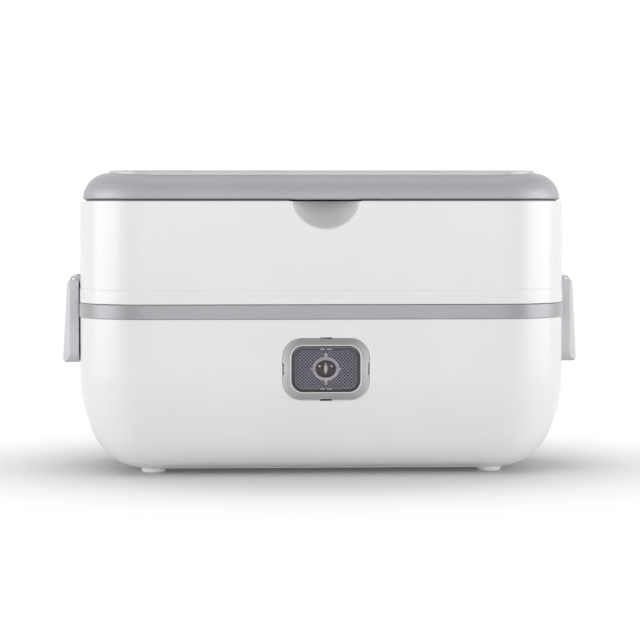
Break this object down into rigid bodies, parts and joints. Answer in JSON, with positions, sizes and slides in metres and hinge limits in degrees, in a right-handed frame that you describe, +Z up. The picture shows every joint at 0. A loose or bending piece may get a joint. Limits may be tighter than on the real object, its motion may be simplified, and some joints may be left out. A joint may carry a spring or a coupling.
{
  "type": "electric lunch box",
  "caption": "Heated bento-style lunch box: rounded base with steam pan and food box, upper case with tray and hinged lid, two side clips.",
  "frame": {"origin": "on the surface that the feet stand on, below the middle of the body", "axes": "+X to the right as seen from the front, along the longest side; -Y to the front; +Z up"},
  "size_m": [0.2526, 0.121, 0.1466],
  "materials": {
    "shell_white": "satin white moulded plastic",
    "inner_white": "matt white moulded plastic",
    "trim_grey": "satin grey moulded plastic",
    "lid_grey": "satin grey moulded plastic",
    "panel_grey": "smooth pale grey moulded plastic",
    "clip_grey": "satin pale grey moulded plastic",
    "bezel_satin": "satin silver-grey plastic",
    "lens_smoke": "smoked clear plastic with a prism pattern behind",
    "lamp_clear": "clear lamp body",
    "dark_plastic": "black moulded plastic",
    "foot_rubber": "white rubber",
    "silicone": "translucent white silicone",
    "cover_plastic": "milky clear plastic",
    "stainless_steel": "brushed pressed steel sheet",
    "fastener_steel": "zinc plated steel",
    "cast_aluminium": "cast aluminium",
    "contact_brass": "plated brass",
    "fuse_ceramic": "pale fuse body",
    "lead_insulation": "red silicone insulation",
    "board_green": "circuit board"
  },
  "bodies": {
    "base": {"lower_shell": "shell_white", "bottom_cover": "shell_white", "cover_screws": "fastener_steel", "feet": "foot_rubber", "band_ring": "trim_grey", "pan_gasket": "silicone", "heating_pan": "stainless_steel", "heater_plate": "cast_aluminium", "heater_clamp": "fastener_steel", "clamp_nuts": "fastener_steel", "thermostat": "dark_plastic", "thermal_fuse": "fuse_ceramic", "internal_leads": "lead_insulation", "lamp_bezel": "bezel_satin", "lamp_lens": "lens_smoke", "lamp_holder": "inner_white", "lamp_led": "lamp_clear", "lamp_board": "board_green", "inlet_socket": "dark_plastic", "inlet_pins": "contact_brass", "inlet_screws": "fastener_steel"},
    "food_box": {"food_box": "stainless_steel"},
    "food_box_cover": {"food_box_cover": "cover_plastic", "cover_seal": "silicone"},
    "steam_plug": {"steam_plug": "silicone"},
    "upper_case": {"upper_shell": "shell_white", "storage_tray": "inner_white", "upper_seal": "silicone", "clip_pins": "fastener_steel", "lid_hinge_pins": "fastener_steel"},
    "lid": {"lid_shell": "lid_grey", "lid_panel": "panel_grey"},
    "clip_left": {"clip_left": "clip_grey"},
    "clip_right": {"clip_right": "clip_grey"}
  },
  "joints": [
    {"name": "food_box_lift", "type": "slide", "parent": "base", "child": "food_box", "axis": [0, 0, 1], "range_m": [0, 0.12]},
    {"name": "food_box_cover_lift", "type": "slide", "parent": "food_box", "child": "food_box_cover", "axis": [0, 0, 1], "range_m": [0, 0.06]},
    {"name": "steam_plug_lift", "type": "slide", "parent": "food_box_cover", "child": "steam_plug", "axis": [0, 0, 1], "range_m": [0, 0.004]},
    {"name": "upper_case_lift", "type": "slide", "parent": "food_box_cover", "child": "upper_case", "axis": [0, 0, 1], "range_m": [0, 0.12]},
    {"name": "lid_hinge", "type": "hinge", "parent": "upper_case", "child": "lid", "pos_m": [0, 0.0581, 0.1341], "axis": [-1, 0, 0], "range_deg": [0, 95]},
    {"name": "clip_left_hinge", "type": "hinge", "parent": "upper_case", "child": "clip_left", "pos_m": [-0.1211, 0, 0.0938], "axis": [0, 1, 0], "range_deg": [0, 120]},
    {"name": "clip_right_hinge", "type": "hinge", "parent": "upper_case", "child": "clip_right", "pos_m": [0.1211, 0, 0.0938], "axis": [0, -1, 0], "range_deg": [0, 120]}
  ]
}
